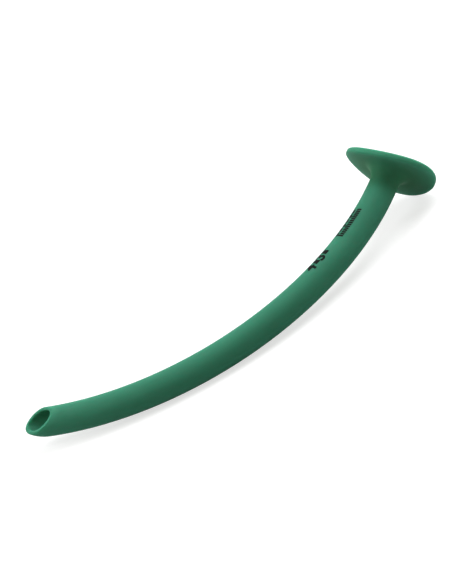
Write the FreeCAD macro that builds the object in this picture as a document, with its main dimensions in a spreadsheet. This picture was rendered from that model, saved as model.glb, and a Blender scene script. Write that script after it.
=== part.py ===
import FreeCAD, Part
import math
import os
import Sketcher

# Nasopharyngeal airway, 28 French: one piece of soft moulded plastic.
# A thin-walled tube leaves the mouth of a round flange, runs straight through the neck and bends in one even arc.
# It ends in a rounded nose with a slanted opening. The flange is soft: it leans away from square to the tube, and
# its rim is bowed, so that two opposite edges stand further forward than the other two.
#
# While it is built, the middle of the flange mouth is the origin, the neck runs down -Z and the tube bends towards
# +X. The last section turns the finished airway as it comes to rest on a table, lying on its side.

# Lengths are in millimetres and angles in degrees.
SIZES = {
    # tube: 28 French is a third of 28 mm across, and its bend is measured on the centreline
    "tube_diameter": 9.34,
    "wall_thickness": 1.12,
    "neck_length": 7.83,
    "bend_radius": 100.52,
    "bend_angle": 80.7,
    # rounded nose, and the slanted opening that is cut through it
    "nose_radius": 16.8,
    "nose_inside_radius": 14.0,
    "bevel_place": 6.1,
    "bevel_angle": 24.9,
    "bevel_turn": 104.8,
    "lip_rounding": 0.45,
    # flange
    "flange_diameter": 30.45,
    "flange_thickness": 2.07,
    "flange_lean": 23.5,
    "lean_turn": 121.0,
    "bow_radius": 47.0,
    "bow_turn": 9.3,
    "front_rounding": 0.95,
    "back_rounding": 0.55,
    "neck_blend": 5.0,
    "mouth_rounding": 2.0,
    # how far a cutting outline runs past what it cuts
    "overrun": 2.0,
}

doc = FreeCAD.newDocument("Airway")
sheet = doc.addObject("Spreadsheet::Sheet", "Sizes")
for row, (alias, value) in enumerate(SIZES.items(), 1):
    sheet.set(f"A{row}", alias.replace("_", " "))
    sheet.set(f"B{row}", str(value))
    sheet.setAlias(f"B{row}", alias)
doc.recompute()

body = doc.addObject("PartDesign::Body", "airway")
body.Label = "airway"

# Places of the sketches. The flange has its own leaning frame, with the bow along its first axis. The far end of the
# bend has a frame whose first axis is the direction of the tube there.
FLANGE_TURN = (
    "rotation(vector(-sin(Sizes.lean_turn); cos(Sizes.lean_turn); 0); Sizes.flange_lean)"
    " * rotation(vector(0; 0; 1); Sizes.bow_turn)"
)
ACROSS_FLANGE = f"placement(vector(0; 0; 0); {FLANGE_TURN})"
ALONG_BOW = f"placement(vector(0; 0; 0); {FLANGE_TURN} * rotation(vector(1; 0; 0); 90))"
TUBE_LEAD = "Sizes.tube_diameter / 2 + Sizes.overrun"
TUBE_START = f"placement(vector(0; 0; {TUBE_LEAD}); rotation(vector(0; 0; 1); 0))"
BEND_END = (
    "placement(vector(Sizes.bend_radius * (1 - cos(Sizes.bend_angle)); 0;"
    " -Sizes.neck_length - Sizes.bend_radius * sin(Sizes.bend_angle));"
    " rotation(vector(0; 1; 0); 90 - Sizes.bend_angle))"
)
ALONG_BEVEL = (
    f"{BEND_END} * placement(vector(Sizes.bevel_place; 0; 0); rotation(vector(1; 0; 0); 90 - Sizes.bevel_turn)"
    " * rotation(vector(0; 0; 1); -Sizes.bevel_angle))"
)

# Points of a sketch's geometry, and its own origin and axes, as constraints name them.
START, END, CENTRE = 1, 2, 3
ORIGIN = (-1, START)
ACROSS_AXIS, UP_AXIS = -1, -2


def new_sketch(name, place=None, role="XY_Plane"):
    """An empty sketch on one of the body's origin planes, moved by a placement that follows the sizes."""
    sketch = body.newObject("Sketcher::SketchObject", name)
    plane = next(feature for feature in body.Origin.OriginFeatures if feature.Role == role)
    sketch.AttachmentSupport = (plane, [""])
    sketch.MapMode = "FlatFace"
    if place:
        sketch.setExpression("AttachmentOffset", place)
    return sketch


def tie(sketch, name, size, kind, *where):
    """A driving dimension of a sketch that follows the sizes."""
    index = sketch.addConstraint(Sketcher.Constraint(kind, *where, amount(size)))
    sketch.renameConstraint(index, name)
    sketch.setExpression(f"Constraints.{name}", size)


def hold(sketch, *constraints):
    """Plain constraints without a size."""
    for kind, *where in constraints:
        sketch.addConstraint(Sketcher.Constraint(kind, *where))


def amount(size):
    """What an expression on the sizes comes to, as a plain number (an angle in radians)."""
    return float(body.evalExpression(size))


def point(x, y):
    return FreeCAD.Vector(x, y, 0)


def line(sketch, x0, y0, x1, y1):
    return sketch.addGeometry(Part.LineSegment(point(x0, y0), point(x1, y1)))


def arc(sketch, x, y, radius, first, last):
    """An arc about x, y that runs counter-clockwise from one angle to another, in radians."""
    return sketch.addGeometry(Part.ArcOfCircle(Part.Circle(point(x, y), FreeCAD.Vector(0, 0, 1), radius), first, last))


def round_section(name, place, diameter):
    """A sketch of one circle about its origin."""
    sketch = new_sketch(name, place)
    circle = sketch.addGeometry(Part.Circle(point(0, 0), FreeCAD.Vector(0, 0, 1), amount(diameter) / 2))
    hold(sketch, ("Coincident", circle, CENTRE, *ORIGIN))
    tie(sketch, "across", diameter, "Diameter", circle)
    return sketch


def make(kind, name, profile, **settings):
    """A feature made from a sketch. It stops the build where it has neither added nor removed anything."""
    before = body.Shape.Volume if body.Tip else 0.0
    feature = body.newObject(f"PartDesign::{kind}", name)
    feature.Profile = profile
    for setting, value in settings.items():
        if setting == "Length":
            feature.setExpression("Length", value)
        else:
            setattr(feature, setting, value)
    body.Tip = feature
    doc.recompute()
    change = body.Shape.Volume - before
    adds = kind in ("Pad", "AdditivePipe", "Revolution")
    if "Invalid" in feature.State or (change > 0.001) != adds or abs(change) < 0.001:
        raise RuntimeError(f"{name} changed the volume by {change:.3f}: {feature.State}")
    return feature


def round_over(name, radius, chosen):
    """Rounds every curved edge of the body whose points are all chosen."""
    base = body.Tip
    edges = [
        f"Edge{number}"
        for number, edge in enumerate(base.Shape.Edges, 1)
        if not isinstance(edge.Curve, Part.Line) and all(chosen(spot) for spot in edge.discretize(Number=9))
    ]
    if not edges:
        raise RuntimeError(f"{name} has found no edge")
    fillet = body.newObject("PartDesign::Fillet", name)
    fillet.Base = (base, edges)
    fillet.setExpression("Radius", radius)
    body.Tip = fillet
    doc.recompute()
    if "Invalid" in fillet.State or abs(fillet.Shape.Volume - base.Shape.Volume) < 0.001:
        raise RuntimeError(f"{name} has rounded nothing: {fillet.State}")


def bowed_region(name, radius, forward):
    """The region in front of a bowed flange face, or behind it, seen along the crest of the bow."""
    sketch = new_sketch(name, ALONG_BOW)
    centre, reach = "Sizes.bow_radius - Sizes.flange_thickness / 2", "Sizes.flange_diameter / 2 + Sizes.overrun"
    middle, bow, side = amount(centre), amount(radius), amount(reach)
    far = side if forward else -side
    corner = middle - math.sqrt(bow**2 - side**2)
    spread = math.asin(side / bow)
    face = arc(sketch, 0, middle, bow, -math.pi / 2 - spread, -math.pi / 2 + spread)
    right = line(sketch, side, corner, side, far)
    back = line(sketch, side, far, -side, far)
    left = line(sketch, -side, far, -side, corner)
    hold(
        sketch,
        ("Coincident", face, END, right, START),
        ("Coincident", right, END, back, START),
        ("Coincident", back, END, left, START),
        ("Coincident", left, END, face, START),
        ("PointOnObject", face, CENTRE, UP_AXIS),
        ("Vertical", right),
        ("Vertical", left),
        ("Horizontal", back),
    )
    tie(sketch, "bow_middle", centre, "DistanceY", *ORIGIN, face, CENTRE)
    tie(sketch, "bow", radius, "Radius", face)
    tie(sketch, "right_reach", reach, "DistanceX", *ORIGIN, right, END)
    tie(sketch, "left_reach", reach, "DistanceX", left, START, *ORIGIN)
    ends = (*ORIGIN, back, START) if forward else (back, START, *ORIGIN)
    tie(sketch, "far_reach", reach, "DistanceY", *ends)
    return sketch


# The flange starts as a round block as tall as it is wide. The back face is cut first, so that the cut spares the
# tube, and the front face once the tube stands through it, so that the tube ends flush with the flange.
flange_outline = round_section("FlangeOutline", ACROSS_FLANGE, "Sizes.flange_diameter")
make("Pad", "FlangeBlock", flange_outline, SideType="Symmetric", Length="Sizes.flange_diameter")
back_region = bowed_region("BackRegion", "Sizes.bow_radius + Sizes.flange_thickness / 2", forward=False)
ACROSS_CUT = "Sizes.flange_diameter + 2 * Sizes.overrun"
make("Pocket", "BackFace", back_region, SideType="Symmetric", Length=ACROSS_CUT)

# Tube: straight neck, then one arc towards +X.
centreline = new_sketch("Centreline", role="XZ_Plane")
neck = line(centreline, 0, amount(TUBE_LEAD), 0, -SIZES["neck_length"])
bend = arc(
    centreline,
    SIZES["bend_radius"],
    -SIZES["neck_length"],
    SIZES["bend_radius"],
    math.pi,
    math.pi + math.radians(SIZES["bend_angle"]),
)
hold(centreline, ("PointOnObject", neck, START, UP_AXIS), ("Vertical", neck), ("Tangent", neck, END, bend, START))
tie(centreline, "lead", TUBE_LEAD, "DistanceY", *ORIGIN, neck, START)
tie(centreline, "neck", "Sizes.neck_length", "DistanceY", neck, END, *ORIGIN)
tie(centreline, "bend", "Sizes.bend_radius", "Radius", bend)
tie(centreline, "turn", "Sizes.bend_angle * 1 deg", "Angle", bend)
SPINE = (centreline, ["Edge1", "Edge2"])

tube_section = round_section("TubeSection", TUBE_START, "Sizes.tube_diameter")
make("AdditivePipe", "Tube", tube_section, Spine=SPINE)
front_region = bowed_region("FrontRegion", "Sizes.bow_radius - Sizes.flange_thickness / 2", forward=True)
make("Pocket", "FrontFace", front_region, SideType="Symmetric", Length=ACROSS_CUT)

# Edges are told apart by where they lie: on the rim, where the tube leaves the back, and at the mouth.
flange_frame = flange_outline.Placement.inverse()


def is_on_rim(spot, front):
    seen = flange_frame.multVec(spot)
    from_bow_middle = math.hypot(seen.x, SIZES["bow_radius"] - SIZES["flange_thickness"] / 2 - seen.z)
    on_outline = abs(math.hypot(seen.x, seen.y) - SIZES["flange_diameter"] / 2) < 0.001
    return on_outline and (from_bow_middle < SIZES["bow_radius"]) == front


def is_on_neck(spot):
    behind = flange_frame.multVec(spot).z < -SIZES["flange_thickness"] / 2
    on_tube = abs(math.hypot(spot.x, spot.y) - SIZES["tube_diameter"] / 2) < 0.001
    return on_tube and behind and spot.z > 0.01 - SIZES["neck_length"]


def is_at_mouth(spot):
    before = flange_frame.multVec(spot).z > -SIZES["flange_thickness"] / 2
    bore = SIZES["tube_diameter"] / 2 - SIZES["wall_thickness"]
    return before and abs(math.hypot(spot.x, spot.y) - bore) < 0.001


round_over("FrontRounding", "Sizes.front_rounding", lambda spot: is_on_rim(spot, front=True))
round_over("BackRounding", "Sizes.back_rounding", lambda spot: is_on_rim(spot, front=False))
round_over("NeckBlend", "Sizes.neck_blend", is_on_neck)

# Bore, along the same centreline, and its flared mouth.
bore_section = round_section("BoreSection", TUBE_START, "Sizes.tube_diameter - 2 * Sizes.wall_thickness")
make("SubtractivePipe", "Bore", bore_section, Spine=SPINE)
round_over("MouthRounding", "Sizes.mouth_rounding", is_at_mouth)

# Nose: a wall between two arcs, turned about the tube's direction at the end of the bend. Both arcs start square to
# the tube's end and run in to its axis, the inner one sooner, so the wall thickens towards the tip.
nose_wall = new_sketch("NoseWall", BEND_END)
tube_radius, nose_radius, nose_inside = SIZES["tube_diameter"] / 2, SIZES["nose_radius"], SIZES["nose_inside_radius"]
bore_radius = tube_radius - SIZES["wall_thickness"]
outer_start = math.acos(math.sqrt(nose_radius**2 - (nose_radius - tube_radius) ** 2) / nose_radius)
inner_start = math.acos(math.sqrt(nose_inside**2 - (nose_inside - bore_radius) ** 2) / nose_inside)
outside = arc(nose_wall, 0, tube_radius - nose_radius, nose_radius, outer_start, math.pi / 2)
inside = arc(nose_wall, 0, bore_radius - nose_inside, nose_inside, inner_start, math.pi / 2)
tube_end = line(nose_wall, 0, tube_radius, 0, bore_radius)
on_axis = line(nose_wall, nose_inside * math.cos(inner_start), 0, nose_radius * math.cos(outer_start), 0)
hold(
    nose_wall,
    ("Coincident", outside, END, tube_end, START),
    ("Coincident", tube_end, END, inside, END),
    ("Coincident", inside, START, on_axis, START),
    ("Coincident", on_axis, END, outside, START),
    ("PointOnObject", outside, CENTRE, UP_AXIS),
    ("PointOnObject", inside, CENTRE, UP_AXIS),
    ("PointOnObject", tube_end, START, UP_AXIS),
    ("PointOnObject", tube_end, END, UP_AXIS),
    ("PointOnObject", on_axis, START, ACROSS_AXIS),
    ("PointOnObject", on_axis, END, ACROSS_AXIS),
)
tie(nose_wall, "outside", "Sizes.nose_radius", "Radius", outside)
tie(nose_wall, "inside", "Sizes.nose_inside_radius", "Radius", inside)
tie(nose_wall, "tube_radius", "Sizes.tube_diameter / 2", "DistanceY", *ORIGIN, tube_end, START)
tie(nose_wall, "bore_radius", "Sizes.tube_diameter / 2 - Sizes.wall_thickness", "DistanceY", *ORIGIN, tube_end, END)
make("Revolution", "Nose", nose_wall, ReferenceAxis=(nose_wall, ["H_Axis"]), Angle=360.0)

# Slanted opening: everything beyond a plane that crosses the axis past the end of the bend.
beyond_bevel = new_sketch("BeyondBevel", ALONG_BEVEL)
HALF_BEVEL, BEVEL_HEIGHT = "Sizes.tube_diameter / sin(Sizes.bevel_angle)", "Sizes.tube_diameter"
half, height = amount(HALF_BEVEL), amount(BEVEL_HEIGHT)
sides = [
    line(beyond_bevel, -half, 0, half, 0),
    line(beyond_bevel, half, 0, half, height),
    line(beyond_bevel, half, height, -half, height),
    line(beyond_bevel, -half, height, -half, 0),
]
for side, following in zip(sides, sides[1:] + sides[:1]):
    hold(beyond_bevel, ("Coincident", side, END, following, START))
for side, direction in zip(sides, ("Horizontal", "Vertical", "Horizontal", "Vertical")):
    hold(beyond_bevel, (direction, side))
hold(beyond_bevel, ("PointOnObject", sides[0], START, ACROSS_AXIS))
tie(beyond_bevel, "one_side", HALF_BEVEL, "DistanceX", sides[0], START, *ORIGIN)
tie(beyond_bevel, "other_side", HALF_BEVEL, "DistanceX", *ORIGIN, sides[0], END)
tie(beyond_bevel, "height", BEVEL_HEIGHT, "DistanceY", *ORIGIN, sides[1], END)
make("Pocket", "Bevel", beyond_bevel, SideType="Symmetric", Length="Sizes.tube_diameter + 2 * Sizes.overrun")

bevel_frame = beyond_bevel.Placement.inverse()
round_over("LipRounding", "Sizes.lip_rounding", lambda spot: abs(bevel_frame.multVec(spot).y) < 0.001)

# Rest: the airway lies on its side, on the flange's rim and the underside of the tube.


def lowest(values, first, last, rounds=24):
    """The place between two limits where a function with one dip is lowest."""
    for _ in range(rounds):
        third = (last - first) / 3
        if values(first + third) < values(last - third):
            last -= third
        else:
            first += third
    return (first + last) / 2


def resting_up(shape, steepest=0.6):
    """The direction that points up once the shape has rolled to where its centre of mass is lowest, near +Y."""
    middle = shape.CenterOfMass
    spots = [spot - middle for spot in shape.tessellate(0.5)[0] if spot.y < middle.y]

    def height(x, z):
        up = FreeCAD.Vector(x, 1, z).normalize()
        return -min(spot.dot(up) for spot in spots)

    def best_z(x):
        return lowest(lambda z: height(x, z), -steepest, steepest)

    x = lowest(lambda x: height(x, best_z(x)), -steepest, steepest)
    return FreeCAD.Vector(x, 1, best_z(x)).normalize()


up = resting_up(body.Shape.Solids[0])
tip_direction = nose_wall.Placement.Rotation.multVec(FreeCAD.Vector(1, 0, 0))
right = -(tip_direction - up * tip_direction.dot(up)).normalize()
deep = up.cross(right)
turn = FreeCAD.Rotation(right, deep, up, "XYZ").inverted()
body.Placement = FreeCAD.Placement(FreeCAD.Vector(), turn)
box = body.Shape.optimalBoundingBox()
foot = FreeCAD.Vector((box.XMin + box.XMax) / 2, (box.YMin + box.YMax) / 2, box.ZMin)
body.Placement = FreeCAD.Placement(-foot, turn)
doc.recompute()

for thing in doc.Objects:
    if "Invalid" in thing.State or "Error" in thing.State:
        raise RuntimeError(f"{thing.Name} has failed: {thing.State}")
if body.Shape.isNull() or not body.Shape.isValid() or len(body.Shape.Solids) != 1:
    raise RuntimeError("airway isn't one valid solid")

os.makedirs("parts", exist_ok=True)
body.Shape.exportStep(os.path.join("parts", f"{body.Label}.step"))
box = body.Shape.optimalBoundingBox()
print(f"{body.Label}: {box.XLength:.2f} x {box.YLength:.2f} x {box.ZLength:.2f} mm, {body.Shape.Volume:.0f} mm3")
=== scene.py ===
import math

import bmesh
import bpy
from bpy.props import FloatProperty, FloatVectorProperty, IntProperty, PointerProperty, StringProperty
from mathutils import Matrix, Vector


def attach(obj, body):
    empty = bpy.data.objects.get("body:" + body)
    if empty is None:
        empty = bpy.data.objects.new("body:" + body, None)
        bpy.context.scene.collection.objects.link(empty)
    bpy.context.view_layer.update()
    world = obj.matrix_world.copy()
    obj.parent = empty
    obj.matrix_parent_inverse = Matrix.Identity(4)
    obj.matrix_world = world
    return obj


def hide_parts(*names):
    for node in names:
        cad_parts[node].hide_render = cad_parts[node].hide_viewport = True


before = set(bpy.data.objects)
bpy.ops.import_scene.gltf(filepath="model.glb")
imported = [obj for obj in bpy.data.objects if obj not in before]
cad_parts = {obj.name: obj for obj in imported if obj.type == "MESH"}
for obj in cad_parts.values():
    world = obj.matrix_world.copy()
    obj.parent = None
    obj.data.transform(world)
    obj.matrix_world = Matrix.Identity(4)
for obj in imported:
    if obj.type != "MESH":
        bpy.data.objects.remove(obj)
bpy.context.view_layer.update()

bl_info = {
    "name": "Nasopharyngeal airway",
    "version": (1, 0, 0),
    "blender": (4, 5, 0),
    "location": "3D View > Sidebar > Airway",
    "description": "Dresses a soft nasopharyngeal airway in plastic, prints plain marks and sets a pale stage",
    "category": "Object",
}

# The airway as its solid is made, in metres. The tube leaves the flange mouth, runs straight through the neck and
# then bends about BEND_CENTRE. TO_START points from that centre to where the bend starts, FORWARD along the tube
# there, away from the flange, and SIDE square to the plane of the bend, to the side that carries the print.
TUBE_RADIUS = 0.00467
BEND_RADIUS = 0.10052
BEND_CENTRE = Vector((-0.0515032, 0.0512130, 0.0262861))
TO_START = Vector((0.9782483, -0.1587039, -0.1335786))
FORWARD = Vector((-0.1801923, -0.9691471, -0.1681807))
SIDE = Vector((0.1027664, -0.1885923, 0.9766637))

# The middle of the flange's mouth, and the way that its leaning face looks. Painted light makes the rim lighter from
# the first distance from the axis to the second, and only near the middle, so that the tube stays out. Painted shade
# makes the neck darker the nearer it is to the middle, where the flange shades it.
FLANGE_MIDDLE = Vector((0.0482935, 0.0431296, 0.0142244))
FLANGE_AXIS = Vector((0.4024133, 0.7899763, 0.4626024))
RIM_LIGHT_FADE = (0.0129, 0.0147)
RIM_LIGHT_REACH = (0.022, 0.018)
NECK_SHADE_FADE = (0.0175, 0.0070)

# The middle of the slanted opening at the tip, and the way that it looks. Painted light makes the lip lighter from
# the first distance from the opening's plane to the second, and only near its middle.
LIP_PLACE = Vector((-0.0576005, -0.0478355, 0.0086728))
LIP_AXIS = Vector((-0.3329100, -0.3931110, 0.8571084))
LIP_LIGHT_FADE = (0.0014, 0.0004)
LIP_LIGHT_REACH = (0.013, 0.011)

# The view of the photograph: where its camera stands, what it looks along and what is upright in it.
CAMERA_PLACE = Vector((0.2990660, -0.5074169, 0.2729079))
CAMERA_AHEAD = Vector((-0.4664799, 0.7851874, -0.4072804))
CAMERA_DOWN = Vector((-0.2395196, -0.5553744, -0.7963603))
FOCAL_PIXELS = 2031.35
PHOTO_HEIGHT = 584
SENSOR = 36.0
NEAREST_SEEN = 0.01

# How far each lamp stands from the airway.
LAMP_DISTANCE = 1.0

# Corners of the CAD mesh nearer than this are one corner.
MERGE_DISTANCE = 0.000002

# How much of the plastic's mottle and roughness comes from the broad cloud, and how much from the fine speck.
CLOUD_SHARE, SPECK_SHARE = 0.75, 0.25
CLOUD_ROUGHNESS, SPECK_ROUGHNESS = 0.10, 0.08

# The print, in metres. Its angles are measured round the tube from the crest of the bend.
NUMBER_FOOT = math.radians(78.0)
NUMBER_GAP = 0.0005
BLOCK_WIDE = 0.0017
BLOCK_TALL = 0.0024
SCALE_FOOT = math.radians(81.0)
DASH_FOOT = math.radians(108.0)
FINE_START = -0.0278
FINE_LENGTH = 0.0127
TICK_TALL = 0.0016
LONG_TICK_TALL = 0.0020
LONG_TICK_EVERY = 5
TICK_SHARE = 0.74
DASH_TALL = 0.0011
DASH_SHARE = 0.76
STRIP_ALONG = 0.0008
STRIP_AROUND = 0.0003


class PlasticSettings(bpy.types.PropertyGroup):
    """Colour and surface of the moulded plastic, with the light and shade painted on its rim, lip and neck."""

    colour: FloatVectorProperty(
        name="Colour",
        description="Main colour of the soft plastic",
        subtype="COLOR",
        size=3,
        min=0.0,
        max=1.0,
        default=(0.049, 0.222, 0.138),
    )
    roughness: FloatProperty(
        name="Roughness",
        description="How matt the surface is",
        subtype="FACTOR",
        min=0.0,
        max=1.0,
        default=0.61,
    )
    depth: FloatProperty(
        name="Depth", description="How far green light travels inside the plastic", unit="LENGTH", default=0.0028
    )
    depth_weight: FloatProperty(
        name="Depth weight",
        description="How much of the light travels inside the plastic",
        subtype="FACTOR",
        min=0.0,
        max=1.0,
        default=0.6,
    )
    mottle: FloatProperty(
        name="Mottle",
        description="How much the pigment varies over the surface",
        subtype="FACTOR",
        min=0.0,
        max=1.0,
        default=0.1,
    )
    # Painted light: how much lighter the flange's rim is painted, standing in for light on and through the rim.
    rim_painted_light: FloatProperty(
        name="Painted rim light", description="How much lighter the thin rim of the flange looks", default=0.22
    )
    # Painted light: how much lighter the lip at the tip is painted, standing in for light falling on it.
    lip_painted_light: FloatProperty(
        name="Painted lip light", description="How much lighter the thin lip at the tip looks", default=0.12
    )
    # Painted shade: the tint painted on the neck behind the flange, where the flange shades it.
    painted_neck_shade: FloatVectorProperty(
        name="Painted neck shade",
        description="What the thick neck keeps of the main colour",
        subtype="COLOR",
        size=3,
        min=0.0,
        max=1.0,
        default=(0.78, 0.76, 0.60),
    )


class PrintSettings(bpy.types.PropertyGroup):
    """The print on the tube: two plain numbers with blocks, and two fine plain rows nearer the flange."""

    numbers: StringProperty(name="Numbers", description="Plain single numbers, in reading order", default="43")
    number_height: FloatProperty(
        name="Number height", description="Height of the numbers", unit="LENGTH", default=0.0041
    )
    number_place: FloatProperty(
        name="Number place",
        description="Distance from the end of the neck to the first number, along the tube",
        unit="LENGTH",
        default=0.0438,
    )
    number_pitch: FloatProperty(
        name="Number pitch", description="Distance from one number to the next", unit="LENGTH", default=0.0051
    )
    ticks: IntProperty(name="Ticks", description="How many marks the fine scale has", min=2, default=15)
    dashes: IntProperty(name="Dashes", description="How many dashes run above the fine scale", min=1, default=6)
    ink_colour: FloatVectorProperty(
        name="Ink", description="Colour of the print", subtype="COLOR", size=3, default=(0.004, 0.007, 0.0065)
    )
    ink_thickness: FloatProperty(
        name="Ink thickness", description="How far the ink stands proud", unit="LENGTH", default=0.00003
    )


class StageSettings(bpy.types.PropertyGroup):
    """Floor and light."""

    floor_size: FloatProperty(name="Floor", description="Side of the square floor", unit="LENGTH", default=6.0)
    floor_grey: FloatProperty(
        name="Floor grey", description="How much light the floor gives back", subtype="FACTOR", default=0.45
    )
    floor_glow: FloatProperty(
        name="Floor glow", description="What the floor adds where it is seen, to look white", default=0.66
    )
    side_power: FloatProperty(
        name="Side light", description="Power of the light at the left", unit="POWER", default=5.8
    )
    top_power: FloatProperty(
        name="Top light", description="Power of the light from above", unit="POWER", default=7.5
    )
    rear_power: FloatProperty(
        name="Rear light", description="Power of the high light behind, at the right", unit="POWER", default=10.5
    )
    lamp_size: FloatProperty(name="Lamp size", description="Width of each light", unit="LENGTH", default=0.8)
    fill_level: FloatProperty(name="Fill", description="Strength of the even light all round", default=0.30)
    lamp_colour: FloatVectorProperty(
        name="Lamp colour", description="Colour of the lamps", subtype="COLOR", size=3, default=(0.96, 0.95, 1.0)
    )
    fill_colour: FloatVectorProperty(
        name="Fill colour", description="Colour of the even light", subtype="COLOR", size=3, default=(1.0, 1.0, 0.82)
    )


class Wire:
    """A socket of a material's nodes. A sum, difference or product with a wire adds the Math node for it."""

    def __init__(self, tree, socket=None):
        self.tree = tree
        self.socket = socket

    def add(self, kind, settings=None, inputs=None, out=0):
        """Any other node: its type, its settings, the values or wires of its inputs, and the output wanted."""
        node = self.tree.nodes.new(kind)
        for name, value in (settings or {}).items():
            setattr(node, name, value)
        for name, value in (inputs or {}).items():
            if isinstance(value, Wire):
                self.tree.links.new(value.socket, node.inputs[name])
            else:
                node.inputs[name].default_value = value
        return Wire(self.tree, node.outputs[out])

    def maths(self, operation, first, second):
        """The Math node on two values or wires."""
        return self.add("ShaderNodeMath", {"operation": operation}, {0: first, 1: second})

    def __add__(self, other):
        return self.maths("ADD", self, other)

    def __radd__(self, other):
        return self.maths("ADD", other, self)

    def __sub__(self, other):
        return self.maths("SUBTRACT", self, other)

    def __rsub__(self, other):
        return self.maths("SUBTRACT", other, self)

    def __mul__(self, other):
        return self.maths("MULTIPLY", self, other)

    def __rmul__(self, other):
        return self.maths("MULTIPLY", other, self)


def new_material(name):
    """An empty material, with a wire to start its nodes from and its surface socket."""
    material = bpy.data.materials.new(name)
    material.use_nodes = True
    tree = material.node_tree
    tree.nodes.clear()
    output = tree.nodes.new("ShaderNodeOutputMaterial")
    return material, Wire(tree), output.inputs["Surface"]


def shade(colour, factor):
    """A colour made lighter or darker, with its alpha."""
    return (*(min(channel * factor, 1.0) for channel in colour), 1.0)


def noise(place, scale, detail, roughness):
    """A cloud of values about 0.5 in space."""
    return place.add(
        "ShaderNodeTexNoise",
        {"noise_dimensions": "3D"},
        {"Vector": place, "Scale": scale, "Detail": detail, "Roughness": roughness},
        out="Fac",
    )


def vector_maths(operation, first, second, out="Vector"):
    """The Vector Math node, from a wire and a second vector."""
    return first.add("ShaderNodeVectorMath", {"operation": operation}, {0: first, 1: second}, out=out)


def length(vector):
    """The length of a vector, as a value."""
    return vector.add("ShaderNodeVectorMath", {"operation": "LENGTH"}, {0: vector}, out="Value")


def fade(value, nothing, full):
    """A smooth mask: none of it where the value is at nothing, all of it where the value is at full."""
    return value.add(
        "ShaderNodeMapRange",
        {"interpolation_type": "SMOOTHSTEP"},
        {"Value": value, "From Min": nothing, "From Max": full},
    )


def soft_plastic(settings):
    """Pigmented soft plastic: faintly mottled, nearly matt, with the fine grain of the mould. Its colour carries
    painted shade on the neck behind the flange, and painted light on the rim and on the lip of the tip."""
    material, start, surface = new_material("soft_plastic")
    place = start.add("ShaderNodeTexCoord", out="Object")
    offset = vector_maths("SUBTRACT", place, FLANGE_MIDDLE)
    from_axis = length(vector_maths("CROSS_PRODUCT", offset, FLANGE_AXIS))
    from_middle = length(offset)
    # A mask of painted light on the flange's rim.
    rim = fade(from_axis, *RIM_LIGHT_FADE) * fade(from_middle, *RIM_LIGHT_REACH)
    # A mask of painted shade on the neck behind the flange.
    neck = fade(from_middle, *NECK_SHADE_FADE)
    # A mask of painted light on the lip of the slanted opening.
    from_lip = vector_maths("SUBTRACT", place, LIP_PLACE)
    above = vector_maths("DOT_PRODUCT", from_lip, LIP_AXIS, out="Value")
    off_plane = above.maths("ABSOLUTE", above, 0.0)
    lip = fade(off_plane, *LIP_LIGHT_FADE) * fade(length(from_lip), *LIP_LIGHT_REACH)
    cloud = noise(place, scale=95.0, detail=4.0, roughness=0.55)
    speck = noise(place, scale=1400.0, detail=2.0, roughness=0.6)
    grain = noise(place, scale=4200.0, detail=3.0, roughness=0.6)
    base = tuple(settings.colour)
    pigment = start.add(
        "ShaderNodeMix",
        {"data_type": "RGBA"},
        {
            "Factor": cloud * CLOUD_SHARE + speck * SPECK_SHARE,
            "A": shade(base, 1.0 - settings.mottle),
            "B": shade(base, 1.0 + settings.mottle),
        },
        out="Result",
    )
    # The painted shade darkens the pigment at the neck.
    shaded_pigment = start.add(
        "ShaderNodeMix",
        {"data_type": "RGBA", "blend_type": "MULTIPLY"},
        {"Factor": neck, "A": pigment, "B": (*settings.painted_neck_shade, 1.0)},
        out="Result",
    )
    # The painted light lightens the pigment at the rim and at the lip.
    painted_light_gain = rim * settings.rim_painted_light + lip * settings.lip_painted_light + 1.0
    tone = start.add("ShaderNodeVectorMath", {"operation": "SCALE"}, {0: shaded_pigment, "Scale": painted_light_gain})
    least_rough = settings.roughness - (CLOUD_ROUGHNESS + SPECK_ROUGHNESS) / 2
    roughness = cloud * CLOUD_ROUGHNESS + speck * SPECK_ROUGHNESS + least_rough
    bump = start.add(
        "ShaderNodeBump",
        inputs={"Strength": 0.12, "Distance": 0.00008, "Height": grain * 0.6 + speck * 0.4},
        out="Normal",
    )
    shader = start.add(
        "ShaderNodeBsdfPrincipled",
        inputs={
            "Base Color": tone,
            "Roughness": roughness,
            "Normal": bump,
            "Specular IOR Level": 0.04,
            "Subsurface Weight": settings.depth_weight,
            "Subsurface Radius": (0.3, 1.0, 0.8),
            "Subsurface Scale": settings.depth,
        },
        out="BSDF",
    )
    start.tree.links.new(shader.socket, surface)
    return material


def printing_ink(settings):
    """Flat printing ink, a little thin and worn in places."""
    material, start, surface = new_material("printing_ink")
    place = start.add("ShaderNodeTexCoord", out="Object")
    wear = noise(place, scale=1900.0, detail=3.0, roughness=0.6)
    thin = start.add(
        "ShaderNodeMapRange",
        inputs={"Value": wear, "From Min": 0.52, "From Max": 0.78, "To Min": 0.0, "To Max": 0.5},
    )
    red, green, blue = settings.ink_colour
    worn_ink = (red * 2.0, green * 4.0, blue * 3.0, 1.0)
    colour = start.add(
        "ShaderNodeMix",
        {"data_type": "RGBA"},
        {"Factor": thin, "A": (red, green, blue, 1.0), "B": worn_ink},
        out="Result",
    )
    shader = start.add(
        "ShaderNodeBsdfPrincipled",
        inputs={"Base Color": colour, "Roughness": wear * 0.2 + 0.5, "Specular IOR Level": 0.12},
        out="BSDF",
    )
    start.tree.links.new(shader.socket, surface)
    return material


def add_piece(name, mesh, material):
    """An object at the origin, with the mesh and one material."""
    piece = bpy.data.objects.new(name, mesh)
    bpy.context.scene.collection.objects.link(piece)
    mesh.materials.clear()
    mesh.materials.append(material)
    return piece


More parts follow.
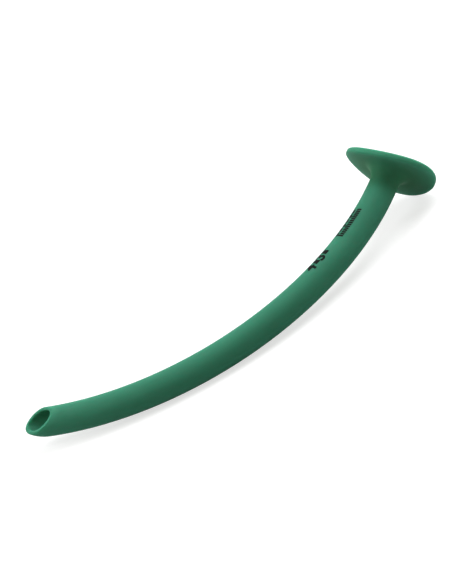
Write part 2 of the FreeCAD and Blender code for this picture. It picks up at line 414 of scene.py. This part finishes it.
class AIRWAY_OT_body(bpy.types.Operator):
    """Dresses the airway: its moulded skin, smooth all over, in soft plastic"""

    bl_idname = "airway.body"
    bl_label = "Moulded airway"

    def execute(self, context):
        settings = context.scene.airway_plastic
        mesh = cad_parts["airway"].data.copy()
        shape = bmesh.new()
        shape.from_mesh(mesh)
        bmesh.ops.remove_doubles(shape, verts=shape.verts, dist=MERGE_DISTANCE)
        for face in shape.faces:
            face.smooth = True
        shape.to_mesh(mesh)
        shape.free()
        skin = add_piece("airway_skin", mesh, soft_plastic(settings))
        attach(skin, "root")
        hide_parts("airway")
        return {"FINISHED"}


def wrap_on_tube(shape, radius):
    """Lays a flat pattern on the tube. x runs back along the tube from the end of the neck, y round it from the
    crest of the bend towards the side and beyond, and z stands off the surface."""
    for vertex in shape.verts:
        along = -vertex.co.x / BEND_RADIUS
        around = vertex.co.y / TUBE_RADIUS
        outward = TO_START * math.cos(along) + FORWARD * math.sin(along)
        away = outward * math.cos(around) + SIDE * math.sin(around)
        vertex.co = BEND_CENTRE + outward * BEND_RADIUS + away * (radius + vertex.co.z)


def cut_in_strips(shape, step_along, step_around):
    """Cuts a flat pattern in small fields, so that it can follow the round tube."""
    for axis, step in ((0, step_along), (1, step_around)):
        values = [vertex.co[axis] for vertex in shape.verts]
        normal = Vector((1.0, 0.0, 0.0)) if axis == 0 else Vector((0.0, 1.0, 0.0))
        for number in range(math.ceil(min(values) / step), math.floor(max(values) / step) + 1):
            bmesh.ops.bisect_plane(
                shape,
                geom=shape.verts[:] + shape.edges[:] + shape.faces[:],
                plane_co=normal * number * step,
                plane_no=normal,
                dist=1e-8,
            )


def add_bar(shape, left, foot, wide, tall, thick):
    """A flat bar of the print, from its left lower corner."""
    middle = Matrix.Translation((left + wide / 2, foot + tall / 2, 0.0))
    sizes = Matrix.Diagonal((wide, tall, 2 * thick, 1.0))
    bmesh.ops.create_cube(shape, size=1.0, matrix=middle @ sizes)


def add_digit(shape, digit, left, foot, tall, thick):
    """One bold upright digit of the print, from its left lower corner. Returns how wide it is."""
    curve = bpy.data.curves.new("digit", "FONT")
    curve.body = digit
    curve.offset = 0.034
    curve.extrude = 1.0
    curve.resolution_u = 6
    writing = bpy.data.objects.new("digit", curve)
    mesh = bpy.data.meshes.new_from_object(writing)
    bpy.data.objects.remove(writing)
    bpy.data.curves.remove(curve)
    corners = [[vertex.co[axis] for vertex in mesh.vertices] for axis in (0, 1)]
    scale = tall / (max(corners[1]) - min(corners[1]))
    place = Matrix.Translation((left - min(corners[0]) * scale, foot - min(corners[1]) * scale, 0.0))
    mesh.transform(place @ Matrix.Diagonal((scale, scale, thick, 1.0)))
    shape.from_mesh(mesh)
    bpy.data.meshes.remove(mesh)
    return (max(corners[0]) - min(corners[0])) * scale


class AIRWAY_OT_print(bpy.types.Operator):
    """Prints plain numbers and a plain scale on the tube, as thin ink"""

    bl_idname = "airway.print_marks"
    bl_label = "Print on the tube"

    def execute(self, context):
        settings = context.scene.airway_print
        ink = printing_ink(settings)
        for name, shape in (
            ("print_numbers", self.numbers(settings)),
            ("print_scale", self.fine_rows(settings)),
        ):
            bmesh.ops.triangulate(shape, faces=shape.faces)
            cut_in_strips(shape, STRIP_ALONG, STRIP_AROUND)
            wrap_on_tube(shape, TUBE_RADIUS)
            bmesh.ops.recalc_face_normals(shape, faces=shape.faces)
            mesh = bpy.data.meshes.new(name)
            shape.to_mesh(mesh)
            shape.free()
            piece = add_piece(name, mesh, ink)
            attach(piece, "root")
        return {"FINISHED"}

    @staticmethod
    def numbers(settings):
        """Plain numbers with a square block after each, read towards the flange, their feet nearest the crest."""
        shape = bmesh.new()
        foot, tall, thick = NUMBER_FOOT * TUBE_RADIUS, settings.number_height, settings.ink_thickness
        block_foot = foot + (tall - BLOCK_TALL) / 2
        for order, digit in enumerate(settings.numbers):
            left = order * settings.number_pitch - settings.number_place
            wide = add_digit(shape, digit, left, foot, tall, thick)
            add_bar(shape, left + wide + NUMBER_GAP, block_foot, BLOCK_WIDE, BLOCK_TALL, thick)
        return shape

    @staticmethod
    def fine_rows(settings):
        """A fine scale, each fifth tick longer, and a row of dashes above it."""
        shape = bmesh.new()
        thick = settings.ink_thickness
        pitch = FINE_LENGTH / settings.ticks
        for number in range(settings.ticks):
            left, foot = FINE_START + number * pitch, SCALE_FOOT * TUBE_RADIUS
            tall = TICK_TALL if number % LONG_TICK_EVERY else LONG_TICK_TALL
            add_bar(shape, left, foot, pitch * TICK_SHARE, tall, thick)
        pitch = FINE_LENGTH / settings.dashes
        for number in range(settings.dashes):
            left, foot = FINE_START + number * pitch, DASH_FOOT * TUBE_RADIUS
            add_bar(shape, left, foot, pitch * DASH_SHARE, DASH_TALL, thick)
        return shape


class AIRWAY_OT_stage(bpy.types.Operator):
    """Sets the pale floor, the soft light and the camera at the photograph's view"""

    bl_idname = "airway.stage"
    bl_label = "Stage"

    def execute(self, context):
        settings = context.scene.airway_stage
        scene = context.scene
        self.add_floor(settings)
        self.add_lights(settings)
        self.add_camera(scene)
        scene.view_settings.view_transform = "Standard"
        return {"FINISHED"}

    @staticmethod
    def add_floor(settings):
        shape = bmesh.new()
        bmesh.ops.create_grid(shape, x_segments=1, y_segments=1, size=settings.floor_size / 2)
        mesh = bpy.data.meshes.new("floor")
        shape.to_mesh(mesh)
        shape.free()
        material, start, surface = new_material("floor")
        seen = sum(
            start.add("ShaderNodeLightPath", out=ray)
            for ray in ("Is Camera Ray", "Is Glossy Ray", "Is Transmission Ray")
        )
        grey = (*[settings.floor_grey] * 3, 1.0)
        diffuse = start.add("ShaderNodeBsdfDiffuse", inputs={"Color": grey}, out="BSDF")
        glow = start.add("ShaderNodeEmission", inputs={"Strength": seen * settings.floor_glow}, out="Emission")
        both = start.add("ShaderNodeAddShader", inputs={0: diffuse, 1: glow}, out="Shader")
        start.tree.links.new(both.socket, surface)
        floor = add_piece("floor", mesh, material)

    @staticmethod
    def add_lights(settings):
        world = bpy.data.worlds.new("studio")
        world.use_nodes = True
        background = world.node_tree.nodes["Background"]
        background.inputs["Color"].default_value = (*settings.fill_colour, 1.0)
        background.inputs["Strength"].default_value = settings.fill_level
        bpy.context.scene.world = world
        right, up, back = CAMERA_DOWN.cross(CAMERA_AHEAD), -CAMERA_DOWN, -CAMERA_AHEAD
        for name, power, towards in (
            ("side_light", settings.side_power, -right + up * 0.3 + back * 0.2),
            ("top_light", settings.top_power, up + back * 0.25),
            ("rear_light", settings.rear_power, right * 0.5 + up * 0.8 - back * 0.5),
        ):
            add_lamp(name, power, settings, towards)

    @staticmethod
    def add_camera(scene):
        data = bpy.data.cameras.new("camera")
        data.sensor_fit = "VERTICAL"
        data.sensor_height = SENSOR
        data.lens = FOCAL_PIXELS * SENSOR / PHOTO_HEIGHT
        data.clip_start = NEAREST_SEEN
        camera = bpy.data.objects.new("camera", data)
        right = CAMERA_DOWN.cross(CAMERA_AHEAD).normalized()
        turn = Matrix((right, -CAMERA_DOWN, -CAMERA_AHEAD)).transposed().to_4x4()
        camera.matrix_world = Matrix.Translation(CAMERA_PLACE) @ turn
        scene.collection.objects.link(camera)
        scene.camera = camera


def add_lamp(name, power, settings, towards):
    """A soft round light that shines on the airway from one side."""
    data = bpy.data.lights.new(name, "AREA")
    data.shape = "DISK"
    data.size = settings.lamp_size
    data.color = settings.lamp_colour
    data.energy = power
    lamp = bpy.data.objects.new(name, data)
    lamp.location = towards.normalized() * LAMP_DISTANCE
    lamp.rotation_euler = towards.to_track_quat("Z", "Y").to_euler()
    bpy.context.scene.collection.objects.link(lamp)


class AIRWAY_PT_panel(bpy.types.Panel):
    """Settings and pieces of the airway"""

    bl_idname = "AIRWAY_PT_panel"
    bl_label = "Nasopharyngeal airway"
    bl_space_type = "VIEW_3D"
    bl_region_type = "UI"
    bl_category = "Airway"

    def draw(self, context):
        layout = self.layout
        for group in (context.scene.airway_plastic, context.scene.airway_print, context.scene.airway_stage):
            box = layout.box()
            for name in group.__annotations__:
                box.prop(group, name)
        for operator in (AIRWAY_OT_body, AIRWAY_OT_print, AIRWAY_OT_stage):
            layout.operator(operator.bl_idname)


CLASSES = (
    PlasticSettings,
    PrintSettings,
    StageSettings,
    AIRWAY_OT_body,
    AIRWAY_OT_print,
    AIRWAY_OT_stage,
    AIRWAY_PT_panel,
)


def register():
    for entry in CLASSES:
        bpy.utils.register_class(entry)
    bpy.types.Scene.airway_plastic = PointerProperty(type=PlasticSettings)
    bpy.types.Scene.airway_print = PointerProperty(type=PrintSettings)
    bpy.types.Scene.airway_stage = PointerProperty(type=StageSettings)


def unregister():
    del bpy.types.Scene.airway_stage
    del bpy.types.Scene.airway_print
    del bpy.types.Scene.airway_plastic
    for entry in reversed(CLASSES):
        bpy.utils.unregister_class(entry)


def main():
    register()
    bpy.ops.airway.body()
    bpy.ops.airway.print_marks()
    bpy.ops.airway.stage()


if __name__ == "__main__":
    main()
